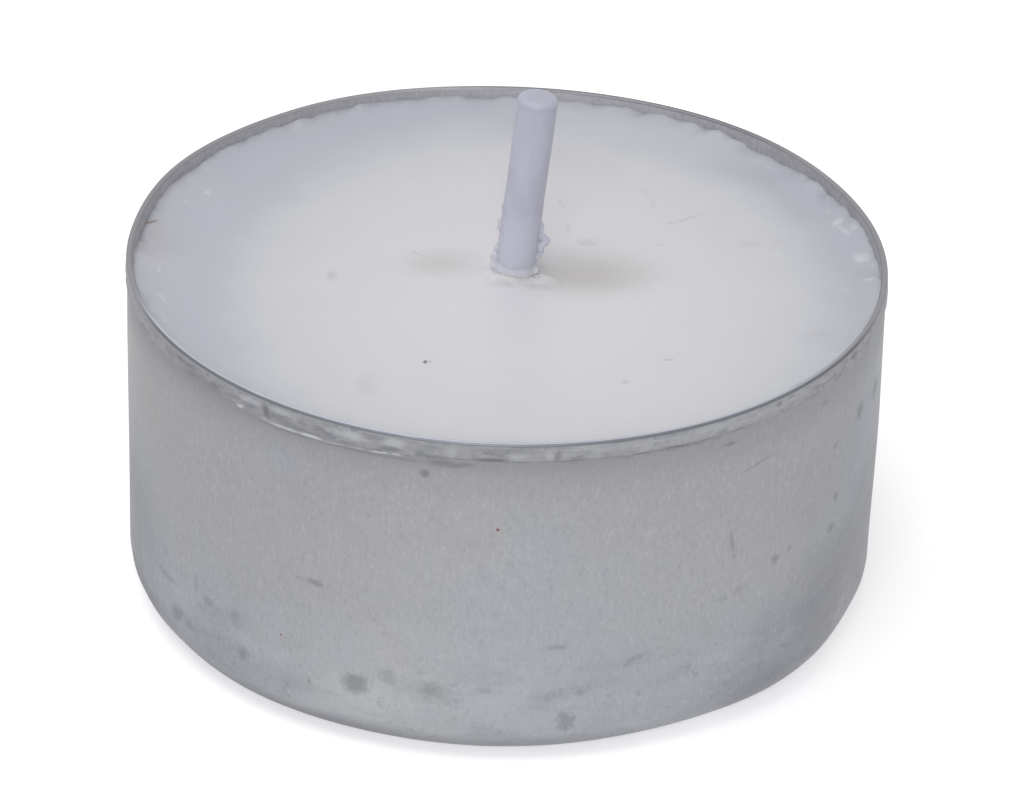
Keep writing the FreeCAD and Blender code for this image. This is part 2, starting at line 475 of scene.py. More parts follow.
def wickLine(shape):
    topShift = (shape["topHeight"] - shape["bendHeight"]) * math.tan(math.radians(shape["lean"]))
    return roundCorners([
        (0, shape["footHeight"], 0),
        (0, shape["upright"], shape["bendRadius"]),
        (shape["offset"], shape["offsetHeight"], shape["bendRadius"]),
        (shape["offset"], shape["bendHeight"], shape["bendRadius"]),
        (shape["offset"] + topShift, shape["topHeight"], 0),
    ], degreesEach=1.2, longest=0.35)


wickRoute = wickLine(wickShape)


def wickCentreAt(height):
    return min(wickRoute, key=lambda point: abs(point[1] - height))[0]


def waxRings(shape, cup):
    level, hole, offset = shape["level"], shape["wickHole"], wickShape["offset"]
    rimRadius, _, rimHeight = nodeSize("cup")
    rimRadius -= cup["rimInset"]
    contactRadius = rimRadius - 2 * cup["sheet"] - cup["hemGap"]
    rings = []
    meniscusRings = 8
    for step in range(meniscusRings):        # from the wall inward
        inward = shape["meniscus"] * (step / meniscusRings) ** 1.5
        climb = shape["climb"] * (1 - inward / shape["meniscus"]) ** 2
        rings.append((0, contactRadius + shape["wallBite"] - inward, level + climb, 0))

    flat = contactRadius - shape["meniscus"]
    collarFoot = hole + shape["collarReach"]
    flatRings = 30
    for step in range(flatRings):
        radius = flat + (collarFoot - flat) * step / flatRings
        rings.append((offset * step / flatRings, radius, level, 0))
    collarTop = hole - 2 * shape["wickBite"]
    collarRings = 9
    for step in range(collarRings):
        rise = step / collarRings
        radius = collarFoot + (collarTop - collarFoot) * math.sin(rise * math.pi / 2)
        rings.append((offset, radius, level + shape["collar"] * rise ** 3, 0))

    discRadius, discFoot, neckTop = nodeSize("wick_sustainer")
    boreTop = level + shape["collar"] * 0.4
    boreSteps = 13
    for step in range(boreSteps + 1):        # the bore that holds the wick, down to the neck
        height = boreTop + (neckTop - boreTop) * (step / boreSteps)
        rings.append((wickCentreAt(height), hole - shape["wickBite"], height, 0))
    neck = sustainerShape
    outline = [
        (hole + neck["sheet"], neckTop),
        (hole + neck["sheet"], discFoot + neck["flare"]),
        (hole + neck["flareMiddle"], discFoot + neck["flareMiddle"]),
        (hole + neck["flare"], discFoot + neck["sheet"]),
        (discRadius, discFoot + neck["sheet"]),
        (discRadius, discFoot),
    ]
    rings += [(0, radius, height, 0) for radius, height in outline]

    inside = cup["sheet"] + shape["wallGap"]
    panel = cup["panelRise"] + inside
    hemFoot = rimHeight - cup["hemDepth"]
    bend, wideBend = shape["floorBend"], shape["wideBend"]
    floor = roundCorners([
        (discRadius + 0.1, panel, 0),
        (cup["ridgeRadius"], panel, bend),
        (cup["ridgeRadius"] + cup["ridgeWidth"] / 2, panel + cup["ridgeRise"], wideBend),
        (cup["ridgeRadius"] + cup["ridgeWidth"], panel, bend),
        (cup["panelRadius"] - 0.1, panel, wideBend),
        (cup["panelRadius"] + cup["panelSlope"], inside, bend),
        (cup["baseRadius"] - inside, inside, cup["cornerRadius"] - inside),
        (rimRadius - cup["hemStep"] - inside, hemFoot - cup["shoulder"], bend),
        (contactRadius - shape["wallGap"], hemFoot, bend),
    ], degreesEach=25, longest=2.4)
    rings += [(0, radius, height, 0) for radius, height, _ in floor]
    return rings + rings[:1]


def makeWax():
    wax = pullRings("waxFill", waxRings(waxShape, cupShape), waxShape["sides"])
    wall = nodeSize("cup")[0]

    def onTop(weightAt):         # weightAt takes the distances to the middle and to the wick
        def weight(point):
            if point.z <= waxShape["level"] - 0.02:
                return 0
            fromWick = math.hypot(point.x - wickShape["offset"], point.y)
            return weightAt(math.hypot(point.x, point.y), fromWick)
        return weight

    def edgeWeight(fromMiddle, fromWick):
        return max(0, (fromMiddle - (wall - 1.3)) / 0.8)

    def middleWeight(fromMiddle, fromWick):
        return min(1, (fromWick - 1.1) / 1.5, (wall - 0.4 - fromMiddle) / 1.5)

    def footWeight(fromMiddle, fromWick):
        return max(0, 1 - abs(fromWick - 1.35) / 0.75) if fromWick > 1.0 else 0

    weigh(wax, "edge", onTop(edgeWeight))
    weigh(wax, "middle", onTop(middleWeight))
    weigh(wax, "nearWick", onTop(footWeight))
    roughen(wax, "edge", *waxShape["edgeWave"], "Z", depth=3)
    roughen(wax, "middle", *waxShape["swell"], "Z", depth=1)
    roughen(wax, "middle", *waxShape["ripple"], "Z")
    roughen(wax, "nearWick", *waxShape["footLumps"], "Z", middle=0.4)
    nudge(wax, waxDents + cupDents)
    return wax


# Wick: cotton soaked in wax, cut off with a rounded end

def makeWick():
    rings = []
    for x, height, heading in wickRoute:
        rings.append((x, wickShape["radius"], height, heading - math.pi / 2))
    x, _, height, tilt = rings.pop()
    rounding = wickShape["endRounding"]
    along = Vector((math.sin(-tilt), math.cos(-tilt)))
    for degrees in range(0, 91, 15):
        turn = math.radians(degrees)
        back = rounding * (1 - math.sin(turn))
        inward = rounding * (1 - math.cos(turn))
        rings.append((x - along.x * back, wickShape["radius"] - inward, height - along.y * back, tilt))
    rings.append((x, wickShape["endCap"], height + 0.01, tilt))
    rings.insert(0, (0, wickShape["endCap"], wickShape["footHeight"], 0))
    wick = pullRings("candleWick", rings, wickShape["sides"], "TRIFAN", closeEnd=True)
    weigh(wick, "skin", lambda point: min(1, (point.z - waxShape["level"]) / 2))
    roughen(wick, "skin", *wickShape["skinGrain"])
    return wick


sleeveShape = {                   # wax that ran down the wick and set round its foot, in mm
    "foot": 16.9,
    "top": 20.3,
    "footSpread": 0.34,           # how far its foot spreads, and over what height
    "footHeight": 1.6,
    "sunk": 0.06,                 # above the foot only the lumps come out of the wick's skin
    "depth": 0.16,                # how deep in the wick its inner side lies
    "lumps": (0.55, 0.4),         # size and height
    "rows": 34,
    "sides": 96,
    "grain": 0.06,                # how finely sleeve and crumbs are melted together
}

# Crumbs of wax stuck to it: degrees from the front, height, distance out from the wick's skin, radius
crumbs = [
    (84, 19.8, -0.04, 0.22), (86, 19.5, -0.02, 0.24), (88, 19.2, 0.1, 0.22), (90, 19.05, 0.3, 0.2),
    (91, 19.0, 0.46, 0.14), (89, 18.8, 0.26, 0.2), (90, 18.8, 0.42, 0.12), (88, 18.55, 0.12, 0.22),
    (88, 18.35, 0.24, 0.14), (84, 18.1, -0.02, 0.24), (-86, 19.95, -0.06, 0.24), (-84, 19.65, -0.1, 0.24),
    (-86, 20.85, -0.1, 0.18), (-86, 18.5, -0.06, 0.22), (-86, 18.2, 0.0, 0.22), (-84, 17.9, 0.02, 0.24),
    (-80, 17.6, 0.04, 0.22), (70, 17.4, 0.04, 0.24),
]


def makeSleeve():
    foot, top, radius = sleeveShape["foot"], sleeveShape["top"], wickShape["radius"]
    rows = sleeveShape["rows"]
    outside = []
    for row in range(rows + 1):
        height = foot + (top - foot) * (row / rows)
        spread = sleeveShape["footSpread"] * max(0, 1 - (height - foot) / sleeveShape["footHeight"]) ** 2
        outside.append((wickCentreAt(height), radius - sleeveShape["sunk"] + spread, height, 0))
    innerRadius = radius - sleeveShape["depth"]
    inside = [(wickCentreAt(height), innerRadius, height, 0) for height in (top, (top + foot) / 2, foot)]
    sleeve = pullRings("waxSleeve", outside + inside + outside[:1], sleeveShape["sides"])

    def lumpWeight(point):       # lumps grow at the sides and near the foot
        centre = wickCentreAt(point.z)
        if math.hypot(point.x - centre, point.y) < radius - 0.1:
            return 0
        sideways = abs(point.x - centre) / radius
        low = max(0, 1 - (point.z - foot) / 1.6)
        return min(1, (top - point.z) / 0.8) * (0.05 + 0.55 * sideways ** 4 + 0.2 * low)

    weigh(sleeve, "lumps", lumpWeight)
    roughen(sleeve, "lumps", *sleeveShape["lumps"], middle=0.42, depth=4)
    made = [sleeve]
    for degrees, height, off, size in crumbs:
        turn = math.radians(degrees)
        reach = radius + off
        place = (wickCentreAt(height) + reach * math.sin(turn), -reach * math.cos(turn), height)
        deselectAll()
        bpy.ops.mesh.primitive_ico_sphere_add(subdivisions=4, radius=size, location=place)
        crumb = bpy.context.active_object
        bpy.ops.object.transform_apply(location=True)
        weigh(crumb, "all", lambda point: 1)
        roughen(crumb, "all", size * 0.9, size * 0.9)
        made.append(crumb)
    deselectAll()
    for part in made:
        part.select_set(True)
    bpy.context.view_layer.objects.active = sleeve
    bpy.ops.object.join()
    applyModifier(sleeve, "REMESH", mode="VOXEL", voxel_size=sleeveShape["grain"])
    applyModifier(sleeve, "SMOOTH", factor=0.5, iterations=6)
    return sleeve


# Finishes

cupLook = {
    "plain": srgb(169, 169, 171),
    "cool": srgb(165, 169, 178),
    "bright": srgb(187, 188, 191),
    "dark": srgb(142, 143, 149),
    # grime also serves as painted shade under the hem and at the bottom corner
    "grimeAndShade": srgb(108, 110, 116),
    # line is the painted dark reflection line on the rim
    "line": srgb(104, 106, 112),
    # glint is a painted highlight on the hem
    "glint": srgb(208, 210, 216),
    # inside and darkInside are lighter than the outside's colours, as painted light on the inner wall
    "inside": srgb(195, 193, 197),
    "darkInside": srgb(176, 174, 178),
    # crown, sideCrown and paleCrown are painted light and shade on the folded edge
    "crown": srgb(124, 123, 128),
    "sideCrown": srgb(148, 147, 151),
    "paleCrown": srgb(184, 187, 196),
    "red": srgb(140, 40, 60),
    "grain": 0.6,
    "roughness": 0.46,
    "unevenRoughness": 0.2,
    "metal": 0.9,
    "edgeTint": 0.85,
    "wrapRadius": 18.9,           # marks are laid round the wall at this radius
}

# Where each tone fades in, as heights in mm: none at the first, all at the second, then how strong
cupTones = {
    "hem": (16.7, 16.95),
    # the next three are painted shade under the hem and on the wall's shoulder below its edge
    "shadeUnderHem": (14.4, 16.9, 0.45),
    "shoulder": (15.9, 16.8),
    "shoulderEnd": (17.04, 16.98, 0.25),
    "smears": (7.0, 3.5),
    "lowDirt": (8.0, 3.0, 0.35),
    "crown": (17.84, 17.9),
    # the painted dark reflection line on the rim
    "rimShadeLine": (17.83, 17.87),
}

# Patches and spots: degrees from the front, height, width and length in mm, turn in degrees, strength
# cool tints; the last one makes the painted shade along the bottom edge bluish
coolPatches = [
    (5, 4.2, 12, 12, 0, 0.9), (6, 11, 3, 7, 0, 0.8), (-1, 9, 4, 4.5, 0, 0.8), (19, 3.5, 13, 8.5, 0, 0.9),
    (38, 3, 9, 7, 0, 0.9), (47, 4, 6, 5.5, 0, 0.7), (-46, 3, 17, 7.5, 0, 0.9), (-66, 3.5, 10, 7, 0, 0.9),
    (-79, 6.5, 8, 8, 0, 0.8), (73, 11.5, 6, 9, -25, 0.8), (62, 8, 4, 4, 0, 0.5),
    (-34, 15, 1.7, 1.3, 0, 0.7), (25, 10.6, 1.8, 0.8, 0, 0.6), (-32, 0.7, 24, 1.6, 0, 1.0),
]

# painted light: a brighter middle of the front and brighter zones low on the wall
paintedLightPatches = [
    (-21, 2.8, 6.5, 2.8, 0, 0.8), (-12, 4, 17, 8, 0, 0.4), (-33, 3.2, 3, 3, 0, 0.3),
    (12, 3.6, 14, 5, 0, 0.15), (0, 8.5, 26, 9, 0, 0.2), (-82, 13, 6, 12, 0, 0.2),
]

# painted shade low on the sides and along the bottom edge
paintedShadePatches = [
    (64, 4.3, 13, 7.5, 20, 0.8), (82, 5.0, 13, 10, 0, 0.8), (50, 1.4, 10, 3.4, 0, 0.85),
    (63, 11, 9, 9, 0, 0.2), (-60, 2.2, 17, 3.2, 0, 0.3), (-36, 0.5, 24, 1.6, 0, 1.0),
    (-80, 7, 2.6, 2, 0, 0.3), (-82, 4.8, 10, 9, 0, 0.8), (-74, 1.2, 15, 2.8, 0, 0.8),
    (2, 0.4, 16, 1.5, 0, 0.8),
]

# painted highlights along the hem's crinkled lower edge and on its face
hemGlints = [
    (-41.8, 16.92, 0.5, 0.22, 20, 0.8), (-33.6, 16.74, 1.8, 0.2, 3, 0.85), (-28.4, 16.78, 1.2, 0.22, -3, 1.0),
    (-36.6, 16.85, 0.9, 0.12, 0, 0.4), (-25.0, 16.78, 1.2, 0.1, 0, 0.4), (-21.2, 16.78, 0.8, 0.12, 0, 0.6),
    (-17.9, 16.83, 1.0, 0.14, 4, 0.8), (-15.2, 16.88, 0.6, 0.13, 0, 0.9), (-39.5, 17.5, 1.4, 0.3, 0, 0.35),
    (-33.9, 17.6, 1.4, 0.3, 0, 0.3), (-22.8, 17.44, 1.8, 0.4, 0, 0.45), (-15.6, 17.5, 1.0, 0.4, 10, 0.4),
    (-10.3, 17.35, 0.6, 0.3, 0, 0.2), (-7.1, 17.46, 0.5, 0.4, 0, 0.2), (2.5, 17.4, 0.9, 0.4, 0, 0.25),
    (7.1, 17.4, 0.4, 0.5, 20, 0.3), (21.6, 17.4, 0.9, 0.4, 0, 0.25), (26.4, 17.55, 0.5, 0.4, 0, 0.25),
    (31, 17.55, 14, 0.5, 0, 0.2), (14, 17.6, 3, 0.4, 0, 0.2), (46, 17.6, 6, 0.4, 0, 0.15),
]

hemShade = [                     # mostly painted shade along and under the hem's lower edge, with a few dark marks on its face; the last three are painted shade low on the wall, at the bottom corner
    (-34, 16.56, 4, 0.14, 0, 0.25), (-20, 16.62, 6, 0.14, 0, 0.25), (-32.0, 17.08, 3.2, 0.28, -4, 0.35),
    (-8.6, 16.68, 1.1, 0.34, 0, 0.4), (-6.3, 16.63, 1.0, 0.24, 0, 0.4), (-5.0, 16.7, 0.8, 0.24, 0, 0.35),
    (-9.5, 17.05, 1.2, 0.24, 0, 0.4), (-1.2, 17.12, 1.6, 0.26, 0, 0.7), (3.2, 17.03, 1.5, 0.14, 0, 0.75),
    (-6.0, 17.05, 1.8, 0.12, 0, 0.5), (9.0, 17.04, 3.0, 0.12, 0, 0.55), (16.0, 17.05, 2.4, 0.1, 0, 0.4),
    (21.5, 17.06, 2.2, 0.12, 0, 0.55), (26.3, 17.07, 2.4, 0.14, 0, 0.6), (31.5, 17.08, 2.4, 0.1, 0, 0.45),
    (36.5, 17.12, 2.0, 0.1, 0, 0.3), (8.2, 17.36, 0.3, 0.6, -20, 0.4), (-0.8, 17.5, 1.2, 0.2, 0, 0.25),
    (-11.6, 17.2, 0.6, 0.4, 0, 0.4), (-16.4, 17.16, 0.8, 0.3, 0, 0.45), (-17.8, 16.98, 0.5, 0.14, 0, 0.4),
    (-26.3, 17.2, 1.6, 0.3, 0, 0.3), (-50, 17.2, 4, 0.4, 0, 0.35), (-56, 17.5, 2.4, 0.3, 0, 0.3),
    (53.0, 17.02, 1.1, 0.16, -6, 0.4), (56.2, 16.1, 0.7, 0.25, 0, 0.2), (0.5, 17.62, 2.4, 0.3, 0, 0.3),
    (-77, 1.6, 7, 1.8, 0, 0.4), (-62, 0.5, 9, 1.3, 0, 0.6), (-30, 0.5, 14, 0.9, 0, 0.2),
]

cupSpots = [
    (-21.0, 3.55, 1.25, 1.1, 0, 0.5), (-16.0, 4.4, 0.9, 0.8, 0, 0.25), (-9.5, 4.0, 0.95, 0.8, 0, 0.28),
    (10.9, 2.25, 0.9, 0.95, 0, 0.4), (9.2, 3.9, 1.1, 0.5, 20, 0.2), (-1.2, 4.15, 0.8, 0.3, 0, 0.2),
    (9.0, 6.6, 0.9, 0.3, 0, 0.3), (21.5, 5.5, 1.2, 0.3, 15, 0.25), (-41.0, 3.1, 0.7, 0.7, 0, 0.33),
    (-28.0, 8.7, 0.9, 0.35, 0, 0.35), (-30.0, 8.7, 1.2, 0.15, 0, 0.18), (-11.0, 16.08, 0.38, 0.36, 0, 0.55),
    (35.6, 16.37, 0.7, 0.18, 0, 0.35), (41.0, 14.7, 2.0, 0.1, 12, 0.28), (61.2, 10.0, 0.4, 0.5, 0, 0.4),
    (60.3, 8.4, 0.7, 0.4, 0, 0.3), (68.7, 13.7, 0.9, 0.8, 30, 0.4), (77.0, 13.5, 1.0, 0.9, 0, 0.35),
    (60.0, 13.1, 0.4, 0.2, 20, 0.4), (46.0, 8.7, 0.45, 0.5, -20, 0.35), (38.9, 7.9, 0.8, 0.4, 20, 0.2),
    (35.7, 7.7, 0.7, 0.4, 0, 0.15), (37.1, 10.5, 0.24, 1.5, 8, 0.3), (-57.5, 2.8, 1.2, 0.8, 20, 0.35),
    (-60.8, 4.4, 1.6, 0.3, 0, 0.25), (-49.0, 4.9, 0.9, 0.5, 0, 0.25), (-42.5, 4.8, 0.9, 0.8, 0, 0.2),
    (-54.0, 2.7, 0.9, 0.5, 0, 0.25), (-36.6, 17.25, 0.4, 0.7, 25, 0.6), (44.6, 17.62, 0.4, 0.26, 0, 0.5),
    (47.2, 17.68, 0.6, 0.14, 0, 0.4), (64.3, 17.5, 0.7, 0.3, 0, 0.4), (58.8, 17.1, 0.5, 0.3, 0, 0.3),
    (-10.5, 17.45, 0.6, 0.4, 0, 0.3), (49.0, 8.9, 0.3, 0.25, 0, 0.3), (-52.0, 5.4, 0.3, 1.0, 0, 0.2),
]

cupRedSpots = [(-0.1, 13.25, 0.15, 0.15, 0, 0.8), (-33.7, 5.1, 0.12, 0.12, 0, 0.7)]


# One material can't hold all the marks, so each side has its own: degrees from, degrees to, marked or not
cupSides = [(-92, -14, True), (-14, 33, True), (33, 92, True), (92, 268, False)]
unmarkedSide = len(cupSides) - 1
insideOfCup = len(cupSides)


def cupSideOf(face):
    middle, facing = face.center, face.normal
    if middle.x * facing.x + middle.y * facing.y < 0:
        return insideOfCup
    degrees = math.degrees(math.atan2(middle.x, -middle.y))
    sides = enumerate(cupSides)
    return next((number for number, (low, high, _) in sides if low <= degrees < high), unmarkedSide)


def metalGrain(sheet, here):     # light and dark flecks, their fine relief and the broad mottling
    grain = sheet.noise(sheet.stretched(here, (5.5, 5.5, 2.6)), 1.0, 2.0)
    pores = sheet.noise(here, 8.0, 2.0)
    mottle = sheet.noise(here, 0.9, 4.0, 0.6)
    tone = (grain - 0.5) * 1.5 + (pores - 0.5) * 1.0 + (mottle - 0.5) * 0.7
    return tone, grain * 0.6 + pores * 0.4, mottle


def crownColour(sheet, here, colour):    # painted light and shade on the folded edge on top: palest in front, darkest behind
    x, y, z = sheet.parts(here)
    inFront = sheet.fade(y, -4.0, -9.0)
    crown = sheet.mixColour(sheet.fade((x - 6.0) ** 2.0, 16.0, 100.0), cupLook["crown"], cupLook["sideCrown"])
    crown = sheet.mixColour(inFront * sheet.fade(x, 18.6, 12.0), crown, cupLook["paleCrown"])
    return sheet.mixColour(sheet.fade(z, *cupTones["crown"]), colour, crown), inFront


def metalShader(sheet, colour, mottle, relief, stainAndShade=0.0):
    roughness = cupLook["roughness"] + (mottle - 0.5) * cupLook["unevenRoughness"] + stainAndShade
    bump = sheet.add("Bump", None, {"Strength": 0.3, "Distance": 0.00002, "Height": relief})
    shader = sheet.add("BsdfPrincipled", None, {
        "Base Color": colour, "Roughness": roughness, "Metallic": cupLook["metal"], "Normal": bump,
        "Specular Tint": (cupLook["edgeTint"],) * 3 + (1.0,),
    })
    sheet.add("OutputMaterial", None, {"Surface": shader})


def insideFinish():
    material, sheet = newFinish("litInnerAluminium")
    here = sheet.place()
    tone, relief, mottle = metalGrain(sheet, here)
    # painted light: the inner wall is coloured lighter than the outside
    colour = sheet.mixColour(sheet.fade(tone, -0.5, 0.5), cupLook["darkInside"], cupLook["inside"])
    colour, _ = crownColour(sheet, here, colour)
    metalShader(sheet, colour, mottle, relief)
    return material


def cupFinish(low, high, marked):
    def near(patches):           # what reaches this side, from degrees to mm round the wall
        perDegree = cupLook["wrapRadius"] * math.pi / 180
        for degrees, height, width, *rest in patches:
            margin = width / 2 / perDegree + 6
            reaches = low - margin < degrees < high + margin if marked else width > 4
            if reaches:
                yield (degrees * perDegree, height, width, *rest)

    material, sheet = newFinish("rolledAluminium")
    here = sheet.place()
    x, y, z = sheet.parts(here)
    away = (x ** 2.0 + y ** 2.0) ** 0.5
    forward = y * -1 if marked else y    # the unseen back has only the front's broad patches, mirrored
    wrapped = x.maths("ARCTAN2", x, forward) * cupLook["wrapRadius"]
    wall = sheet.add("CombineXYZ", None, {0: wrapped, 1: z})
    broad = sheet.noise(here, 0.5, 5.0, 0.6) * 2.0 - 1.0
    ragged = sheet.noise(here, 2.6, 5.0, 0.65) * 2.4 - 1.2
    soft = broad * 0.4

    # broad patches: cool tints, painted light and painted shade
    cool = patchMask(sheet, wall, broad * 1.3, near(coolPatches), 1.3)
    colour = sheet.mixColour(cool, cupLook["plain"], cupLook["cool"])
    bright = patchMask(sheet, wall, soft, near(paintedLightPatches), 1.4)
    colour = sheet.mixColour(bright, colour, cupLook["bright"])
    shade = patchMask(sheet, wall, soft, near(paintedShadePatches), 1.4)
    colour = sheet.mixColour(shade, colour, cupLook["dark"])

    # flecks, weaker on dark patches
    tone, relief, mottle = metalGrain(sheet, here)
    grainHere = (1 - shade * 0.8) * cupLook["grain"]
    colour = sheet.mixColour(sheet.fade(tone, 0.0, 0.6) * grainHere, colour, cupLook["bright"])
    colour = sheet.mixColour(sheet.fade(tone, 0.0, -0.6, 0.6) * grainHere, colour, cupLook["dark"])

    # wiped dirt near the base
    smears = sheet.noise(sheet.stretched(here, (0.35, 0.35, 0.9)), 1.0, 4.0, 0.55)
    nearBase = sheet.fade(z, *cupTones["smears"])
    colour = sheet.mixColour(nearBase * sheet.fade(smears, 0.5, 0.7, 0.3), colour, cupLook["dark"])
    colour = sheet.mixColour(nearBase * sheet.fade(smears, 0.48, 0.3, 0.25), colour, cupLook["bright"])

    # hem, with painted highlights on its crinkles and painted shade in its creases, and the painted shade
    # under it
    onHem = sheet.fade(z, *cupTones["hem"])
    crinkles = sheet.noise(sheet.stretched(here, (1.7, 1.7, 3.2)), 1.0, 5.0, 0.65)
    creases = sheet.noise(sheet.stretched(here, (0.5, 0.5, 3.6)), 1.0, 3.0, 0.6)
    # painted highlights on the hem's crinkles
    colour = sheet.mixColour(onHem * sheet.fade(crinkles, 0.5, 0.66, 0.5), colour, cupLook["bright"])
    # painted shade on the shoulder, where the wall faces up under the hem's lower edge
    shoulder = sheet.fade(z, *cupTones["shoulder"]) * sheet.fade(z, *cupTones["shoulderEnd"])
    shoulder = shoulder * sheet.fade(x, 9.0, 1.0)
    creaseShade = onHem * sheet.fade(crinkles + creases, 1.02, 0.76, 0.6)
    hemPaintedShade = sheet.fade(z, *cupTones["shadeUnderHem"]) + creaseShade + shoulder
    colour = sheet.mixColour(hemPaintedShade, colour, cupLook["dark"])
    glints = patchMask(sheet, wall, ragged * 0.8, near(hemGlints), 1.6)
    colour = sheet.mixColour(glints, colour, cupLook["glint"])

    # spots and specks, and the painted shade along the hem's edge and at the bottom corner
    stainAndShade = patchMask(sheet, wall, ragged * 0.6, near(hemShade), 1.3)
    if marked:
        stainAndShade = stainAndShade.largest(patchMask(sheet, wall, ragged, near(cupSpots), 1.3))
    specks = sheet.noise(here, 1.3, 5.0, 0.65)
    stainAndShade = stainAndShade.largest(sheet.fade(specks, 0.58, 0.74) * sheet.fade(z, *cupTones["lowDirt"]))
    colour = sheet.mixColour(stainAndShade, colour, cupLook["grimeAndShade"])
    if marked:
        red = patchMask(sheet, wall, ragged * 0.4, near(cupRedSpots))
        colour = sheet.mixColour(red, colour, cupLook["red"])

    # folded edge, and the painted dark reflection line outside it
    colour, inFront = crownColour(sheet, here, colour)
    rimShadeLine = sheet.fade(z, *cupTones["rimShadeLine"]) * sheet.fade(away, 18.83, 18.88, 0.85) * inFront
    colour = sheet.mixColour(rimShadeLine, colour, cupLook["line"])

    metalShader(sheet, colour, mottle, relief, stainAndShade * 0.15)
    return material


waxLook = {
    # middle to edge are painted light and shade: palest in a pool in front of the wick, darker and bluer
    # towards the wall
    "middle": srgb(211, 209, 214),
    "soft": srgb(205, 204, 209),
    "between": srgb(196, 197, 202),
    "edge": srgb(178, 181, 190),
    "dipShade": srgb(191, 189, 188),
    "speck": srgb(209, 211, 217),
    "mark": srgb(172, 170, 172),
    "pit": srgb(104, 96, 92),
    "hair": srgb(140, 118, 110),
    "blush": srgb(184, 182, 189),
    "shoreShade": srgb(160, 163, 172),
    "lightPoolCentre": (1.2, -3.2),     # the middle of the painted pool of light, x and y in mm
    "softFrom": (4.0, 11.0),      # how far from it the other tones begin and are full
    "betweenFrom": (10.0, 15.0),
    "edgeFrom": (13.5, 17.5),
    "topFrom": (16.4, 16.6),      # height over which the marks of the top come in
    "roughness": 0.42,
    "depth": 0.0012,              # how far light spreads in the wax, in metres
}

# Patches and marks of the top: x, y, width and length in mm, turn in degrees, strength
# painted shade in the shallow dips beside the wick
waxDipShade = [(4.1, -0.1, 5.4, 3.8, 0, 1.0), (2.4, -1.0, 2.6, 1.8, 0, 0.6), (-3.3, 0.6, 3.6, 2.4, 15, 0.6)]

# painted light: the pool in front of the wick and a paler band at the back
waxPaintedLight = [(0.0, -6.0, 4.5, 6.0, 0, 0.8), (7.0, 15.6, 13.0, 3.4, -22, 0.22)]

waxMarks = [
    (-6.6, -12.0, 1.0, 2.0, 0, 0.2), (-8.7, -1.2, 0.5, 0.8, 0, 0.45), (4.0, 3.3, 0.9, 0.7, 0, 0.35),
    (3.0, 4.6, 0.25, 0.8, 0, 0.25), (9.0, 6.1, 1.6, 0.2, 40, 0.4), (8.3, 5.6, 0.8, 0.2, 20, 0.35),
    (2.6, 7.3, 0.25, 0.9, 20, 0.25), (7.3, 7.5, 0.25, 1.1, -10, 0.2), (6.9, 8.8, 0.3, 0.9, 0, 0.15),
    (12.2, 3.5, 1.2, 0.7, 5, 0.2), (13.6, 3.8, 0.9, 0.4, 30, 0.2), (15.4, -5.6, 1.4, 0.5, 20, 0.25),
    (8.0, -8.7, 0.5, 0.2, 0, 0.6), (5.9, -11.0, 0.25, 0.4, 0, 0.5), (7.6, 3.2, 0.3, 0.3, 0, 0.3),
    (-4.4, 1.4, 0.9, 0.16, -35, 0.5), (-15.0, 2.4, 0.3, 0.3, 0, 0.3), (-17.6, 3.6, 0.7, 1.6, 0, 0.4),
    (-17.2, -3.2, 0.3, 0.9, 0, 0.35), (1.9, -1.6, 1.6, 0.5, 0, 0.25), (0.0, -1.5, 1.6, 0.7, 0, 0.3),
]

waxPits = [(-3.82, -9.65, 0.2, 0.32, 0, 0.95), (-3.62, -9.6, 0.26, 0.14, 0, 0.3)]

waxHairs = [(-17.95, 4.28, 0.72, 0.17, 42, 0.8), (-18.1, 4.14, 0.34, 0.24, 20, 0.6)]

waxBlush = [
    (-17.6, 1.2, 2.8, 8.0, 0, 0.6), (-16.4, 7.8, 1.6, 4.0, -25, 0.5), (-11.0, 15.0, 3.0, 1.6, 35, 0.4),
]

waxSpecks = [
    (-15.3, 7.45, 0.24, 0.5, 0, 0.6), (-16.3, 6.4, 0.2, 0.3, 0, 0.4), (16.6, 6.2, 0.4, 0.8, -30, 0.7),
    (16.9, 5.4, 0.25, 1.0, 30, 0.5), (17.4, 5.6, 0.35, 0.5, 0, 0.5), (17.7, 2.7, 0.6, 0.7, 0, 0.8),
    (18.0, 0.2, 0.5, 0.3, 0, 0.6), (16.2, 7.6, 0.2, 0.7, 10, 0.35),
    (-17.25, -1.0, 0.16, 0.4, 0, 0.5), (-17.0, -3.9, 0.2, 1.0, 24, 0.35), (-16.8, -6.0, 0.2, 0.8, 20, 0.2),
    (13.4, 2.4, 0.5, 0.25, 0, 0.35), (16.9, -1.0, 0.3, 0.3, 0, 0.35),
]


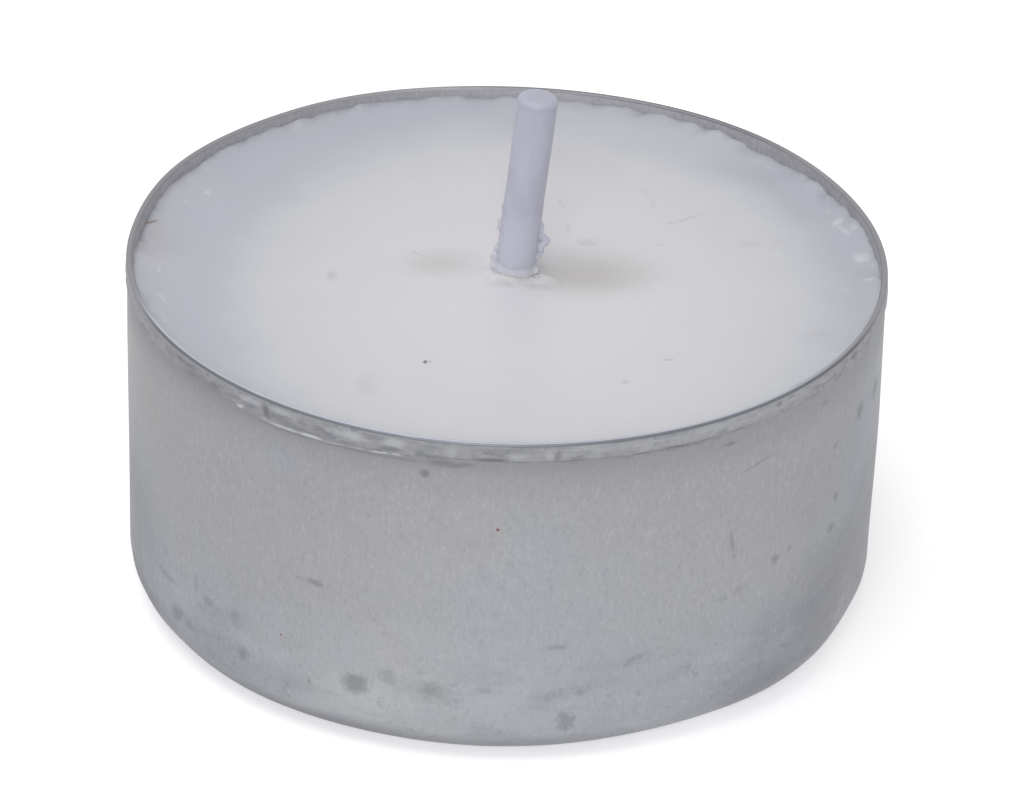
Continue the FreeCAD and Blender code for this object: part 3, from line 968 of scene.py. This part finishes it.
def waxFinish():
    material, sheet = newFinish("candleWax")
    here = sheet.place()
    x, y, z = sheet.parts(here)
    middleX, middleY = waxLook["lightPoolCentre"]
    drift = sheet.noise(here, 0.3, 4.0, 0.6) - 0.5
    # painted light and shade: the colour darkens and cools with distance from the pool of light
    reach = (((x - middleX) * 1.05) ** 2.0 + ((y - middleY) * 0.82) ** 2.0) ** 0.5 + drift * 2.5
    colour = waxLook["middle"]
    for tone in ("soft", "between", "edge"):
        colour = sheet.mixColour(sheet.fade(reach, *waxLook[tone + "From"]), colour, waxLook[tone])
    onTop = sheet.fade(z, *waxLook["topFrom"])
    # painted shade along the wall at the back of the top
    shoreShade = sheet.fade((x ** 2.0 + y ** 2.0) ** 0.5, 16.8, 18.5) * sheet.fade(y, -10.0, 0.0, 0.12)
    colour = sheet.mixColour(shoreShade, colour, waxLook["shoreShade"])
    soft = drift * 0.9
    ragged = sheet.noise(here, 4.0, 4.0, 0.65) * 2.4 - 1.2
    top = sheet.stretched(here, (1, 1, 0))
    layers = [                   # patches, unevenness of their outlines, softness, colour
        (waxPaintedLight, soft, 1.6, "middle"),
        (waxBlush, soft + ragged * 0.3, 1.6, "blush"),
        (waxDipShade, soft + ragged * 0.25, 1.6, "dipShade"),
        (waxMarks, ragged, 1.4, "mark"),
        (waxSpecks, ragged, 2.0, "speck"),
        (waxPits, ragged * 0.3, 1.0, "pit"),
        (waxHairs, ragged * 0.3, 1.0, "hair"),
    ]
    masks = {}
    for patches, wobble, softness, tone in layers:
        masks[tone] = patchMask(sheet, top, wobble, patches, softness) * onTop
        colour = sheet.mixColour(masks[tone], colour, waxLook[tone])
    roughness = waxLook["roughness"] + drift * 0.1
    relief = sheet.noise(here, 3.0, 3.0) * 0.6 + masks["speck"] - masks["pit"]
    bump = sheet.add("Bump", None, {"Strength": 0.3, "Distance": 0.00003, "Height": relief})
    shader = sheet.add("BsdfPrincipled", None, {
        "Base Color": colour, "Roughness": roughness, "Normal": bump,
        "Subsurface Weight": 0.6, "Subsurface Radius": (1.0, 0.95, 1.0), "Subsurface Scale": waxLook["depth"],
    })
    sheet.add("OutputMaterial", None, {"Surface": shader})
    return material


wickLook = {
    "body": srgb(187, 188, 201),
    "dark": srgb(181, 181, 195),
    "low": srgb(194, 196, 208),
    "foot": srgb(194, 194, 200),
    # end is painted shade on the wick's lit top end
    "end": srgb(171, 173, 187),
    "crumb": srgb(189, 190, 199),
    "lowFrom": (21.0, 19.6, 0.7),     # heights in mm where a tone begins and is full, and how strong
    "footFrom": (18.1, 17.2, 0.8),
    "endFrom": (26.2, 26.8, 0.8),
    "roughness": 0.45,
    "depth": 0.0005,                  # how far light spreads in it, in metres
}


def wickFinish(name, pale):
    material, sheet = newFinish(name)
    here = sheet.place()
    strands = sheet.noise(sheet.stretched(here, (1.6, 1.6, 0.5)), 1.0, 3.0)
    colour = sheet.mixColour(sheet.fade(strands, 0.35, 0.65), wickLook["dark"], wickLook[pale])
    z = sheet.parts(here)[2] + strands * 0.8 - 0.4
    # the end tone is painted shade on the wick's lit top end
    for tone in ("low", "foot", "end"):
        colour = sheet.mixColour(sheet.fade(z, *wickLook[tone + "From"]), colour, wickLook[tone])
    bump = sheet.add("Bump", None, {"Strength": 0.15, "Distance": 0.00004, "Height": strands})
    shader = sheet.add("BsdfPrincipled", None, {
        "Base Color": colour, "Roughness": wickLook["roughness"], "Normal": bump,
        "Subsurface Weight": 0.5, "Subsurface Radius": (1.0, 1.0, 1.1), "Subsurface Scale": wickLook["depth"],
    })
    sheet.add("OutputMaterial", None, {"Surface": shader})
    return material


sustainerLook = {
    "dark": srgb(176, 176, 172),
    "bright": srgb(206, 206, 204),
    "roughness": 0.25,
}


def sustainerFinish():
    material, sheet = newFinish("tinnedSteel")
    here = sheet.place()
    grain = sheet.noise(sheet.stretched(here, (8.0, 1.0, 1.0)), 1.0, 3.0)
    colour = sheet.mixColour(grain, sustainerLook["dark"], sustainerLook["bright"])
    roughness = sustainerLook["roughness"] + grain * 0.15
    inputs = {"Base Color": colour, "Roughness": roughness, "Metallic": 1.0}
    shader = sheet.add("BsdfPrincipled", None, inputs)
    sheet.add("OutputMaterial", None, {"Surface": shader})
    return material


# Floor, light and camera

studio = {
    "floorSize": 4.0,
    "floorColour": srgb(236, 236, 238),
    "floorLift": 0.42,             # light that the floor adds where the camera sees it
    "worldStrength": 0.60,
    "lights": [                   # name, place, size, watts, aimed at the candle
        ("frontLight", (-0.08, -0.6, 0.32), 0.35, 1.2),
        ("topLight", (-0.15, -0.1, 0.6), 0.4, 1.1),
    ],
}


def mirrorRays(sheet):            # 1 for rays that are mirrored or go through something
    rays = sheet.add("LightPath")
    outputs = rays.socket.node.outputs
    glossy, through = Signal(sheet, outputs["Is Glossy Ray"]), Signal(sheet, outputs["Is Transmission Ray"])
    return glossy.largest(through)


def seenRays(sheet):              # 1 for those and for rays straight from the camera
    return mirrorRays(sheet).largest(sheet.add("LightPath"))


def makeStudio():
    deselectAll()
    bpy.ops.mesh.primitive_plane_add(size=studio["floorSize"])
    floor = bpy.context.active_object
    floor.name = "studioFloor"
    material, sheet = newFinish("paleFloor")
    rays = seenRays(sheet)
    diffuse = sheet.add("BsdfDiffuse", None, {"Color": studio["floorColour"]})
    glow = sheet.add("Emission", None, {"Strength": rays * studio["floorLift"]})
    seen = sheet.add("AddShader", None, {0: diffuse, 1: glow})
    mirrored = sheet.add("Emission", None, {"Strength": 1.0})
    both = sheet.add("MixShader", None, {0: mirrorRays(sheet), 1: seen, 2: mirrored})
    sheet.add("OutputMaterial", None, {"Surface": both})
    floor.data.materials.append(material)

    world = bpy.data.worlds.new("studioWorld")
    world.use_nodes = True
    sheet = NodeSheet(world.node_tree)
    seen = seenRays(sheet)
    strength = seen * (1 - studio["worldStrength"]) + studio["worldStrength"]
    light = sheet.add("Background", None, {"Color": (1, 1, 1, 1), "Strength": strength})
    sheet.add("OutputWorld", None, {"Surface": light})
    bpy.context.scene.world = world

    for name, place, size, watts in studio["lights"]:
        lamp = bpy.data.lights.new(name, "AREA")
        lamp.shape = "DISK"
        lamp.size = size
        lamp.energy = watts
        lampObject = bpy.data.objects.new(name, lamp)
        bpy.context.scene.collection.objects.link(lampObject)
        lampObject.location = place
        lampObject.rotation_euler = (-Vector(place)).to_track_quat("-Z", "Y").to_euler()
    print("studio ready")


view = {                          # where the photograph was taken from, in mm and degrees
    "eye": (0.46, -307.614, 182.444),
    "target": (0.46, 0.0, 9.459),
    "roll": 1.77,
    "lens": 246.5,
    "sensor": 36.0,
}


def makeCamera():
    data = bpy.data.cameras.new("photoView")
    camera = bpy.data.objects.new("photoView", data)
    bpy.context.scene.collection.objects.link(camera)
    eye = Vector(view["eye"]) * metresPerMillimetre
    target = Vector(view["target"]) * metresPerMillimetre
    data.sensor_width = view["sensor"]
    data.lens = view["lens"]
    data.clip_start = 0.01
    camera.location = eye
    camera.rotation_mode = "QUATERNION"
    aim = (target - eye).to_track_quat("-Z", "Y")
    camera.rotation_quaternion = aim @ Quaternion((0, 0, 1), math.radians(view["roll"]))
    bpy.context.scene.camera = camera


makeCamera()
makeStudio()
waxMaterial, wickMaterial = waxFinish(), wickFinish("waxedWick", "body")
cupMaterials = [cupFinish(*side) for side in cupSides] + [insideFinish()]
finishPiece(makeCup(), "cup", "aluminium_cup", *cupMaterials, pick=cupSideOf)
finishPiece(makeWax(), "wax_fill", "candle_wax", waxMaterial)
finishPiece(makeWick(), "wick", "waxed_wick", wickMaterial)
finishPiece(makeSleeve(), None, "candle_wax", wickFinish("setWax", "crumb"), smoothUnder=180)
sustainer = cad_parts["wick_sustainer"]
sustainer.data.materials.clear()
sustainer.data.materials.append(sustainerFinish())
bpy.context.scene.view_settings.view_transform = "Standard"
